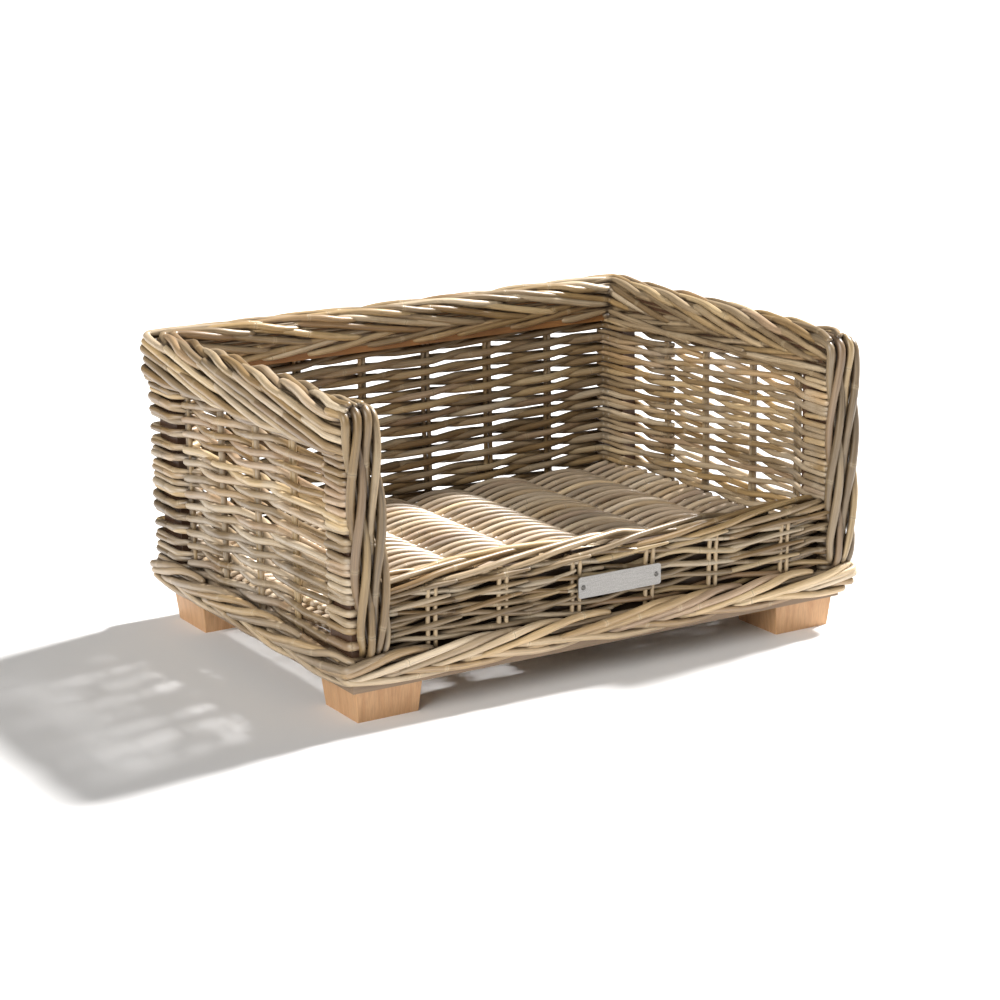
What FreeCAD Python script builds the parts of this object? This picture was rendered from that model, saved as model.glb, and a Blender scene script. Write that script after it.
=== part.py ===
import FreeCAD, Part
import os

# Wicker pet bed basket: a wooden frame on four tapered feet, covered with woven rattan.
# Millimetres.  The origin is on the floor under the middle of the basket.
# +X is the right-hand side, +Y the back and +Z up; the low entry side faces -Y.

# ---- driving dimensions ------------------------------------------------------------

WIDTH = 644.0                 # over the bottom braid, along X
DEPTH = 480.0                 # over the bottom braid, along Y
HEIGHT = 334.0                # floor to the top of the top braid

FOOT_HEIGHT = 34.5
FOOT_BOTTOM = 71.0            # square, at the floor
FOOT_TOP = 78.0               # square, under the base rails
FOOT_INSET = 5.0              # from the frame's edge to the foot's top edge

BRAID_OVERHANG = 14.0         # how far the bottom braid stands out from the frame
BOARD = 12.0                  # thickness of the base rails and the front board
BASE_RAIL_WIDTH = 60.0
POST_THICK = 18.0             # posts and top rails, along X on the side walls
POST_WIDE = 46.0              # posts, along Y
TOP_RAIL_TALL = 36.0
TOP_BRAID_TALL = 50.0
TOP_BRAID_WIDE = 37.0         # on the back wall
SIDE_BRAID_WIDE = 35.0        # on the side walls
BRAID_DROP = 2.5              # how far the bottom braid hangs over the base rails' edge
BOTTOM_BRAID_TALL = 30.0

WALL = 18.0                   # thickness of the woven walls
WALL_CENTRE_INSET = 6.0       # from the frame's outer face to the middle of a side wall
BACK_CENTRE_INSET = 4.0       # from the frame's outer face to the middle of the back wall
WRAP = 7.5                    # thickness of the rods wrapped round a post
FRONT_WRAP = 5.0              # the same, on the front face of the front posts
STAKE_DIAMETER = 5.0
STAKE_GAP = 5.6               # between the two rods of a stake pair
STAKE_PITCH = 85.6            # between stake pairs, and between the floor ribs
STAKE_SHIFT = -8.0            # the hand-set stakes and ribs stand this far off centre
BACK_STAKES = 6
LEFT_STAKES_Y = (-97.0, -10.0, 76.0, 161.0)
RIGHT_STAKES_Y = (-156.0, -72.0, 21.0, 100.0)

FRONT_WEAVE = 15.0            # thickness of the low front wall's weave
FRONT_TOP = 137.0             # height of the low front wall, without its border
FRONT_BORDER_TALL = 13.0
FRONT_BORDER_WIDE = 29.0
FRONT_PROUD = 6.0             # the low front weave stands this far in front of the frame
TIES_X = (-217.5, -133.4, -43.6, 49.2, 132.0, 228.4)
TIE_DIAMETER = 4.4
TIE_GAP = 8.6                 # between the two rods of a tie
TIE_RISE = 2.0                # how far the ties reach up over the low front wall

FLOOR_MIDDLE = 95.0           # height of the floor's middle surface
RIB_TALL = 10.0
RIB_WIDE = 24.0
FLOOR_ROD = 7.0
FLOOR_VALLEY = 8.0            # thickness of the floor where its rods cross between ribs
BEARER = 18.0
BEARER_INSET = 5.0            # from the back posts' inner edge to the back bearer

PLATE_WIDE = 104.0
PLATE_TALL = 23.0
PLATE_THICK = 1.2
PLATE_CENTRE_X = 6.8
PLATE_CENTRE_Z = 104.4
PLATE_ROUND = 3.0
RIVET_INSET = 5.8
RIVET_HEAD = (2.0, 2.8, 1.3)  # radius at the top and at the plate, and height
RIVET_SHANK = (1.5, 14.0)     # radius and length

SCREW_HEAD = (4.2, 2.0, 2.4)  # radius of the head and of the shank, and height of the head
FRAME_SCREW_LENGTH = 38.0     # in the post
POST_SCREW_INSET = 12.0       # from a post's inner edge to its second screw
FOOT_SCREW_LENGTH = 34.0
FOOT_SCREW_RECESS = 8.0
RECESS_DIAMETER = 10.0
FOOT_SCREW_SHIFTS = ((0, 13.0), (11.0, -27.0))
FOOT_EDGE_ROUND = 1.5

TOP_ROUND = 12.0              # rounding of the top braids
PLAIT_ROUND = 8.0             # rounding of the front plaits' top

# ---- places worked out from them -----------------------------------------------------

HALF_X = WIDTH / 2
HALF_Y = DEPTH / 2
FRAME_X = HALF_X - BRAID_OVERHANG          # outer face of the frame
FRAME_Y = HALF_Y - BRAID_OVERHANG
POST_X = FRAME_X - POST_THICK              # inner face of the posts
POST_Y = FRAME_Y - POST_WIDE               # the posts' edge towards the middle
BASE_TOP = FOOT_HEIGHT + BOARD
TOP_BRAID_BOTTOM = HEIGHT - TOP_BRAID_TALL
RAIL_TOP = TOP_BRAID_BOTTOM + TOP_RAIL_TALL
BACK_RAIL_Y = FRAME_Y - POST_THICK         # front face of the back top rail
WALL_X = FRAME_X - WALL_CENTRE_INSET
WALL_Y = FRAME_Y - BACK_CENTRE_INSET
WRAP_OUT = FRAME_X + WRAP                  # outer surface of the wrapped rods
WRAP_IN = POST_X - WRAP
BRAID_IN_X = HALF_X - SIDE_BRAID_WIDE
BRAID_IN_Y = HALF_Y - TOP_BRAID_WIDE
BOTTOM_BRAID_LOW = BASE_TOP - BRAID_DROP
BOTTOM_BRAID_TOP = BOTTOM_BRAID_LOW + BOTTOM_BRAID_TALL
FRONT_FACE_Y = -FRAME_Y - FRONT_PROUD      # front surface of the low front weave
BOARD_FRONT_Y = FRONT_FACE_Y + FRONT_WEAVE
BOARD_BACK_Y = BOARD_FRONT_Y + BOARD
RIB_BOTTOM = FLOOR_MIDDLE - RIB_TALL / 2
RIB_TOP = FLOOR_MIDDLE + RIB_TALL / 2
FLOOR_TOP = RIB_TOP + FLOOR_ROD
FLOOR_BOTTOM = RIB_BOTTOM - FLOOR_ROD
FOOT_X = FRAME_X - FOOT_INSET - FOOT_TOP / 2
FOOT_Y = FRAME_Y - FOOT_INSET - FOOT_TOP / 2

RIB_X = [STAKE_SHIFT + STAKE_PITCH * (i - (BACK_STAKES - 1) / 2) for i in range(BACK_STAKES)]
SIDES = (("left", -1), ("right", 1))
ENDS = (("front", -1), ("back", 1))

DOWN = FreeCAD.Vector(0, 0, -1)
UP = FreeCAD.Vector(0, 0, 1)


# ---- shape helpers ---------------------------------------------------------------------

def box(x0, x1, y0, y1, z0, z1):
    """A block between two corners, given in any order along each axis."""
    low = FreeCAD.Vector(min(x0, x1), min(y0, y1), min(z0, z1))
    return Part.makeBox(abs(x1 - x0), abs(y1 - y0), abs(z1 - z0), low)


def cut(shape, *tools):
    """The shape with every tool's volume taken away."""
    for tool in tools:
        shape = shape.cut(tool)
    return shape.removeSplitter()


def fuse(first, *others):
    """One solid made of blocks that share faces or overlap."""
    for other in others:
        first = first.fuse(other)
    return first.removeSplitter()


def group(shapes):
    """Several separate solids that share one node."""
    return Part.makeCompound(shapes)


def round_edges(shape, radius, chosen):
    """Fillet the straight edges whose two ends satisfy chosen(point)."""
    edges = [e for e in shape.Edges if all(chosen(v.Point) for v in e.Vertexes)]
    return shape.makeFillet(radius, edges)


def square_wire(cx, cy, side, z):
    half = side / 2
    corners = [(-half, -half), (half, -half), (half, half), (-half, half), (-half, -half)]
    return Part.makePolygon([FreeCAD.Vector(cx + x, cy + y, z) for x, y in corners])


def rod(x, y, z0, z1, diameter):
    return Part.makeCylinder(diameter / 2, z1 - z0, FreeCAD.Vector(x, y, z0), UP)


def stake_pair(x, y, along_x):
    """Two thin upright rods side by side, from the base rails to the top rails."""
    dx, dy = (STAKE_GAP / 2, 0) if along_x else (0, STAKE_GAP / 2)
    return group([rod(x + s * dx, y + s * dy, BASE_TOP, TOP_BRAID_BOTTOM, STAKE_DIAMETER)
                  for s in (-1, 1)])


def wood_screw(x, y, z, length, direction):
    """Countersunk screw: flat head at z, shank along direction."""
    head_radius, shank_radius, head_height = SCREW_HEAD
    at = FreeCAD.Vector(x, y, z)
    head = Part.makeCone(head_radius, shank_radius, head_height, at, direction)
    shank = Part.makeCylinder(shank_radius, length, at, direction)
    return fuse(head, shank)


# ---- feet and frame --------------------------------------------------------------------

def foot_screw_places(sx, sy):
    """One screw goes up into the front or back base rail and one into the side rail."""
    return [(sx * (FOOT_X + dx), sy * (FOOT_Y + dy)) for dx, dy in FOOT_SCREW_SHIFTS]


def foot(sx, sy):
    cx, cy = sx * FOOT_X, sy * FOOT_Y
    wires = [square_wire(cx, cy, FOOT_BOTTOM, 0), square_wire(cx, cy, FOOT_TOP, FOOT_HEIGHT)]
    block = Part.makeLoft(wires, True, True)
    upright = [e for e in block.Edges if abs(e.Vertexes[0].Z - e.Vertexes[1].Z) > 1]
    block = block.makeFillet(FOOT_EDGE_ROUND, upright)
    recesses = [rod(x, y, 0, FOOT_SCREW_RECESS, RECESS_DIAMETER)
                for x, y in foot_screw_places(sx, sy)]
    return cut(block, *recesses, foot_screws)


foot_screws = group([wood_screw(x, y, FOOT_SCREW_RECESS, FOOT_SCREW_LENGTH, UP)
                     for _, sx in SIDES for _, sy in ENDS for x, y in foot_screw_places(sx, sy)])

POST_MID_X = (FRAME_X + POST_X) / 2
screws_down = [(s * POST_MID_X, -FRAME_Y + POST_WIDE / 2) for _, s in SIDES]
screws_down += [(s * POST_MID_X, POST_Y + POST_SCREW_INSET) for _, s in SIDES]
screws_down += [(s * POST_MID_X, BACK_RAIL_Y + POST_THICK / 2) for _, s in SIDES]
screws_up = [(sx * POST_MID_X, sy * (FRAME_Y - POST_WIDE / 2)) for _, sx in SIDES for _, sy in ENDS]
frame_screws = group([wood_screw(x, y, RAIL_TOP, TOP_RAIL_TALL + FRAME_SCREW_LENGTH, DOWN)
                      for x, y in screws_down]
                     + [wood_screw(x, y, FOOT_HEIGHT, FRAME_SCREW_LENGTH, UP)
                        for x, y in screws_up])

parts = {"foot_screws": foot_screws, "frame_screws": frame_screws}

for end, sy in ENDS:
    for side, sx in SIDES:
        parts[f"foot_{end}_{side}"] = foot(sx, sy)
        post = box(sx * POST_X, sx * FRAME_X, sy * POST_Y, sy * FRAME_Y, BASE_TOP, TOP_BRAID_BOTTOM)
        parts[f"post_{end}_{side}"] = cut(post, frame_screws)
    rail = box(-FRAME_X, FRAME_X, sy * (FRAME_Y - BASE_RAIL_WIDTH), sy * FRAME_Y, FOOT_HEIGHT, BASE_TOP)
    parts[f"base_rail_{end}"] = cut(rail, foot_screws, frame_screws)

inner_y = FRAME_Y - BASE_RAIL_WIDTH
for side, sx in SIDES:
    rail = box(sx * (FRAME_X - BASE_RAIL_WIDTH), sx * FRAME_X, -inner_y, inner_y, FOOT_HEIGHT, BASE_TOP)
    parts[f"base_rail_{side}"] = cut(rail, foot_screws)
    rail = box(sx * POST_X, sx * FRAME_X, -FRAME_Y, BACK_RAIL_Y, TOP_BRAID_BOTTOM, RAIL_TOP)
    parts[f"top_rail_{side}"] = cut(rail, frame_screws)

half_slat = BASE_RAIL_WIDTH / 2
parts["base_slat"] = box(-half_slat, half_slat, -inner_y, inner_y, FOOT_HEIGHT, BASE_TOP)
rail = box(-FRAME_X, FRAME_X, BACK_RAIL_Y, FRAME_Y, TOP_BRAID_BOTTOM, RAIL_TOP)
parts["top_rail_back"] = cut(rail, frame_screws)
parts["front_board"] = box(-POST_X, POST_X, BOARD_FRONT_Y, BOARD_BACK_Y, BASE_TOP, FRONT_TOP)

bearer_low = FLOOR_BOTTOM - BEARER
parts["floor_bearer_front"] = box(-POST_X, POST_X, BOARD_BACK_Y, BOARD_BACK_Y + BEARER,
                                  bearer_low, FLOOR_BOTTOM)
bearer_y = POST_Y + BEARER_INSET
parts["floor_bearer_back"] = box(-POST_X, POST_X, bearer_y, bearer_y + BEARER,
                                 bearer_low, FLOOR_BOTTOM)

wood = [parts[name] for name in parts if name.startswith(("post_", "top_rail_", "base_rail_"))]
wood += [parts["front_board"], parts["floor_bearer_front"], parts["floor_bearer_back"], frame_screws]


# ---- stakes ----------------------------------------------------------------------------

stakes = {"back": {}, "left": {}, "right": {}}
for i, x in enumerate(RIB_X):
    stakes["back"][f"stakes_back_{i + 1}"] = stake_pair(x, WALL_Y, True)
for i, y in enumerate(LEFT_STAKES_Y):
    stakes["left"][f"stakes_left_{i + 1}"] = stake_pair(-WALL_X, y, False)
for i, y in enumerate(RIGHT_STAKES_Y):
    stakes["right"][f"stakes_right_{i + 1}"] = stake_pair(WALL_X, y, False)
for wall in stakes.values():
    parts.update(wall)


# ---- woven walls -----------------------------------------------------------------------

def side_weave(side, s):
    """A side wall: a panel round the stakes whose rods wrap the posts at both ends."""
    z = (BASE_TOP, TOP_BRAID_BOTTOM)
    panel = box(s * (WALL_X - WALL / 2), s * (WALL_X + WALL / 2), -POST_Y, POST_Y, *z)
    front_wrap = box(s * WRAP_IN, s * WRAP_OUT, -FRAME_Y - FRONT_WRAP, WRAP - POST_Y, *z)
    back_wrap = box(s * WRAP_IN, s * WRAP_OUT, POST_Y - WRAP, WALL_Y - WALL / 2, *z)
    back_corner = box(s * FRAME_X, s * WRAP_OUT, POST_Y, FRAME_Y, *z)
    return cut(fuse(panel, front_wrap, back_wrap, back_corner), *wood, *stakes[side].values())


def back_weave():
    """The back wall, with its rods wrapped round the back of both corner posts."""
    z = (BASE_TOP, TOP_BRAID_BOTTOM)
    panel = box(-POST_X, POST_X, WALL_Y - WALL / 2, WALL_Y + WALL / 2, *z)
    corners = [box(s * POST_X, s * WRAP_OUT, FRAME_Y, FRAME_Y + WRAP, *z) for _, s in SIDES]
    return cut(fuse(panel, *corners), *wood, *stakes["back"].values())


parts["weave_left"] = side_weave("left", -1)
parts["weave_right"] = side_weave("right", 1)
parts["weave_back"] = back_weave()

RIVET_X = [PLATE_CENTRE_X + s * (PLATE_WIDE / 2 - RIVET_INSET) for s in (-1, 1)]
TIE_Y = FRONT_FACE_Y - TIE_DIAMETER / 2
PLATE_BACK_Y = FRONT_FACE_Y - TIE_DIAMETER


def rivet(x):
    """Low round head over the plate, and a shank through it into the weave."""
    into = FreeCAD.Vector(0, 1, 0)
    face = FreeCAD.Vector(x, PLATE_BACK_Y - PLATE_THICK, PLATE_CENTRE_Z)
    top, foot_radius, tall = RIVET_HEAD
    head = Part.makeCone(top, foot_radius, tall, face - into * tall, into)
    shank = Part.makeCylinder(*RIVET_SHANK, face, into)
    return fuse(head, shank)


parts["plate_rivets"] = group([rivet(x) for x in RIVET_X])

front = box(-WRAP_IN, WRAP_IN, FRONT_FACE_Y, BOARD_FRONT_Y, BASE_TOP, FRONT_TOP)
parts["weave_front"] = cut(front, parts["plate_rivets"])
ties = group([rod(x + s * TIE_GAP / 2, TIE_Y, BOTTOM_BRAID_TOP, FRONT_TOP + TIE_RISE, TIE_DIAMETER)
              for x in TIES_X for s in (-1, 1)])
parts["front_ties"] = cut(ties, parts["plate_rivets"])

plate = box(PLATE_CENTRE_X - PLATE_WIDE / 2, PLATE_CENTRE_X + PLATE_WIDE / 2,
            PLATE_BACK_Y - PLATE_THICK, PLATE_BACK_Y,
            PLATE_CENTRE_Z - PLATE_TALL / 2, PLATE_CENTRE_Z + PLATE_TALL / 2)
plate_corners = [e for e in plate.Edges if abs(e.Vertexes[0].Y - e.Vertexes[1].Y) > 0.5]
parts["name_plate"] = cut(plate.makeFillet(PLATE_ROUND, plate_corners), parts["plate_rivets"])


# ---- floor -----------------------------------------------------------------------------

def floor_outline(edge_x):
    """Wavy section of the floor: it swells over and under each rib."""
    valleys = [RIB_X[0] - STAKE_PITCH / 2] + [x + STAKE_PITCH / 2 for x in RIB_X]

    def point(x, up, swell):
        return FreeCAD.Vector(x, 0, FLOOR_MIDDLE + up * swell)

    def edges(up):
        low, high = FLOOR_VALLEY / 2, FLOOR_TOP - FLOOR_MIDDLE
        run = [Part.makeLine(point(-edge_x, up, high), point(valleys[0], up, low))]
        for start, rib, stop in zip(valleys, RIB_X, valleys[1:]):
            arc = Part.Arc(point(start, up, low), point(rib, up, high), point(stop, up, low))
            run.append(arc.toShape())
        run.append(Part.makeLine(point(valleys[-1], up, low), point(edge_x, up, high)))
        return run

    high = FLOOR_TOP - FLOOR_MIDDLE
    ends = [Part.makeLine(point(x, -1, high), point(x, 1, high)) for x in (-edge_x, edge_x)]
    return Part.Wire(Part.__sortEdges__(edges(1) + edges(-1) + ends))


floor_front, floor_back = BOARD_BACK_Y, WALL_Y - WALL / 2
ribs = [box(x - RIB_WIDE / 2, x + RIB_WIDE / 2, floor_front, floor_back, RIB_BOTTOM, RIB_TOP)
        for x in RIB_X]
for i, rib in enumerate(ribs):
    parts[f"floor_rib_{i + 1}"] = rib

section = Part.Face(floor_outline(WALL_X - WALL / 2))
section.translate(FreeCAD.Vector(0, floor_front, 0))
mat = section.extrude(FreeCAD.Vector(0, floor_back - floor_front, 0))
walls = [parts["weave_left"], parts["weave_right"], parts["weave_back"]]
parts["floor_weave"] = cut(mat, *ribs, *walls, *wood)


# ---- braided borders -------------------------------------------------------------------

def near(value, target):
    return abs(value - target) < 0.01


def top_braid_back():
    braid = box(-HALF_X, HALF_X, BRAID_IN_Y, HALF_Y, TOP_BRAID_BOTTOM, HEIGHT)
    braid = round_edges(braid, TOP_ROUND, lambda p: near(p.z, HEIGHT) and not near(p.y, BRAID_IN_Y))
    return cut(braid, *wood)


def top_braid_side(s):
    braid = box(s * BRAID_IN_X, s * HALF_X, -FRAME_Y - FRONT_WRAP, BRAID_IN_Y, TOP_BRAID_BOTTOM, HEIGHT)
    braid = round_edges(braid, TOP_ROUND, lambda p: near(p.z, HEIGHT) and near(abs(p.x), HALF_X))
    return cut(braid, *wood)


def front_plait(s):
    """Upright plait that covers the front edge of a side wall."""
    plait = box(s * WRAP_IN, s * HALF_X, -HALF_Y, -FRAME_Y - FRONT_WRAP, BOTTOM_BRAID_TOP, HEIGHT)
    return round_edges(plait, PLAIT_ROUND, lambda p: near(p.z, HEIGHT) and near(p.y, -HALF_Y))


def bottom_braid(x0, x1, y0, y1):
    braid = box(x0, x1, y0, y1, BOTTOM_BRAID_LOW, BOTTOM_BRAID_TOP)
    return cut(braid, *wood, *walls, parts["weave_front"])


parts["top_braid_back"] = top_braid_back()
parts["front_border"] = box(-WRAP_IN, WRAP_IN, FRONT_FACE_Y, FRONT_FACE_Y + FRONT_BORDER_WIDE,
                            FRONT_TOP, FRONT_TOP + FRONT_BORDER_TALL)
for side, s in SIDES:
    parts[f"top_braid_{side}"] = top_braid_side(s)
    parts[f"front_plait_{side}"] = front_plait(s)
    parts[f"bottom_braid_{side}"] = bottom_braid(s * FRAME_X, s * HALF_X, -FRAME_Y, FRAME_Y)
for end, s in ENDS:
    parts[f"bottom_braid_{end}"] = bottom_braid(-HALF_X, HALF_X, s * FRAME_Y, s * HALF_Y)


# ---- one STEP file per piece -------------------------------------------------------------

os.makedirs("parts", exist_ok=True)
for name, shape in parts.items():
    shape.exportStep(f"parts/{name}.step")
    solids = len(shape.Solids)
    print(f"{name}: {solids} solid(s), {shape.Volume / 1000:.1f} cm3, valid {shape.isValid()}")
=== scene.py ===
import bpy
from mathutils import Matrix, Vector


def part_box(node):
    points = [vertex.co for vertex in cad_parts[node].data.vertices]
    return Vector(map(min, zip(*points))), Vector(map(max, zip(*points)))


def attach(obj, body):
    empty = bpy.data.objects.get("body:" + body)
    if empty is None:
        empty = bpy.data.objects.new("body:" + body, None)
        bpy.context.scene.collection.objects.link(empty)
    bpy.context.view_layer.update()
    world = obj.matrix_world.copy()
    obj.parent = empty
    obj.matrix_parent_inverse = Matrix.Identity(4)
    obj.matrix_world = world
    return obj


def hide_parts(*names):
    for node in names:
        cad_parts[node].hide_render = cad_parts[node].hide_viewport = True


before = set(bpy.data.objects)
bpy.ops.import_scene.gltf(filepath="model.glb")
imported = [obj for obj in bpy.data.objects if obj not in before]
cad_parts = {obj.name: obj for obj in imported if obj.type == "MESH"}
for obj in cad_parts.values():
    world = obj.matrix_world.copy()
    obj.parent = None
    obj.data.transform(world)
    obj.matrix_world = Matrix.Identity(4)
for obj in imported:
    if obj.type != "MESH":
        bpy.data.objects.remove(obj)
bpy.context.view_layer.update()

import math

import bpy
import numpy as np
from mathutils import Matrix, Vector

# The wicker pet bed basket.  Everything is in metres, in the CAD frame: +X right, +Y back, +Z up.
# Every rattan rod is its own tube.  A piece is a bundle of rods that belong together.

MM = 0.001
SEED = 20
rng = np.random.default_rng(SEED)


# ---- camera ----------------------------------------------------------------------------

CAMERA_AT = Vector((-1.45315, -2.43062, 0.88516))
CAMERA_RIGHT = Vector((0.85559, -0.51742, -0.01592))
CAMERA_UP = Vector((0.14451, 0.20921, 0.96713))
LENS_MM = 93.6
SENSOR_MM = 36.0


def add_camera():
    data = bpy.data.cameras.new("camera")
    data.sensor_width = SENSOR_MM
    data.lens = LENS_MM
    camera = bpy.data.objects.new("camera", data)
    backward = CAMERA_RIGHT.cross(CAMERA_UP).normalized()
    axes = Matrix((CAMERA_RIGHT, CAMERA_UP, backward)).transposed()
    camera.matrix_world = Matrix.Translation(CAMERA_AT) @ axes.to_4x4()
    bpy.context.scene.collection.objects.link(camera)
    bpy.context.scene.camera = camera


add_camera()


# ---- places from the frame -------------------------------------------------------------

def centre(node):
    low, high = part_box(node)
    return (low + high) / 2


POST_LOW, POST_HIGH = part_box("post_back_right")
POST_IN, POST_OUT = POST_LOW.x, POST_HIGH.x
POST_NEAR, POST_FAR = POST_LOW.y, POST_HIGH.y
BRAID_LOW, BRAID_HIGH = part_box("top_braid_back")[0].z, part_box("top_braid_back")[1].z
WALL_X = centre("stakes_right_1").x
WALL_Y = centre("stakes_back_1").y
LEFT_Y = [centre(f"stakes_left_{i + 1}").y for i in range(4)]
RIGHT_Y = [centre(f"stakes_right_{i + 1}").y for i in range(4)]
BACK_X = [centre(f"stakes_back_{i + 1}").x for i in range(6)]
RIB_X = [centre(f"floor_rib_{i + 1}").x for i in range(6)]
HALF_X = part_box("bottom_braid_front")[1].x
HALF_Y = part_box("bottom_braid_back")[1].y


# ---- rods ------------------------------------------------------------------------------

STEP = 3.2 * MM               # length of one segment of a rod
SIDES = 8
UNEVEN = 0.035                # how much a rod's radius drifts, as a share of it
NODE_SPACING = 0.173          # between the rings on a rod
NODE_BUMP = 0.07              # how far a ring swells, as a share of the radius
NODE_WIDTH = 1.8 * MM
PATTERN_LENGTH = 40.0         # each rod takes its grain from a place of its own in this length
END_RINGS = ((0.42, 0.86), (0.68, 0.48))   # beyond a rod's end: distance and radius, in radii


def resample(points, step=STEP):
    """The same line with evenly spaced points."""
    points = np.asarray(points, float)
    leg = np.linalg.norm(np.diff(points, axis=0), axis=1)
    keep = np.concatenate([[True], leg > 1e-7])
    points = points[keep]
    at = np.concatenate([[0], np.cumsum(np.linalg.norm(np.diff(points, axis=0), axis=1))])
    count = max(int(at[-1] / step), 3) + 1
    where = np.linspace(0, at[-1], count)
    return np.stack([np.interp(where, at, points[:, i]) for i in range(3)], axis=1)


def smooth(points, reach):
    """Rounds the corners of an evenly spaced line with a Hann window.  The ends stay in place."""
    step = np.linalg.norm(points[1] - points[0])
    half = min(int(reach / step), len(points) - 1)
    if half < 1:
        return points
    window = np.hanning(2 * half + 3)[1:-1]
    window /= window.sum()
    before = 2 * points[0] - points[half:0:-1]
    after = 2 * points[-1] - points[-2:-half - 2:-1]
    padded = np.concatenate([before, points, after])
    return np.stack([np.convolve(padded[:, i], window, "valid") for i in range(3)], axis=1)


def curve(points, reach, step=STEP):
    """An evenly spaced line through the points, with its corners rounded over reach."""
    return smooth(resample(points, step), reach)


def wander(count, size, step, wave=0.06):
    """A slow random drift along a rod, one value a point."""
    length = count * step
    knots = max(int(length / wave) + 3, 4)
    values = rng.normal(0, size, knots)
    return np.interp(np.linspace(0, knots - 1, count), np.arange(knots), values)


def transported_frames(points):
    """Tangents of a line, and two normals at each point that turn as little as they can."""
    tangents = np.gradient(points, axis=0)
    tangents /= np.linalg.norm(tangents, axis=1, keepdims=True)
    start = np.cross(tangents[0], (0.0, 0.0, 1.0))
    if np.linalg.norm(start) < 0.1:
        start = np.cross(tangents[0], (0.0, 1.0, 0.0))
    normals = np.empty_like(points)
    current = start / np.linalg.norm(start)
    for i, tangent in enumerate(tangents):
        current = current - tangent * current.dot(tangent)
        current = current / math.sqrt(current.dot(current))
        normals[i] = current
    return tangents, normals, np.cross(tangents, normals)


BUNDLES = []


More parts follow.
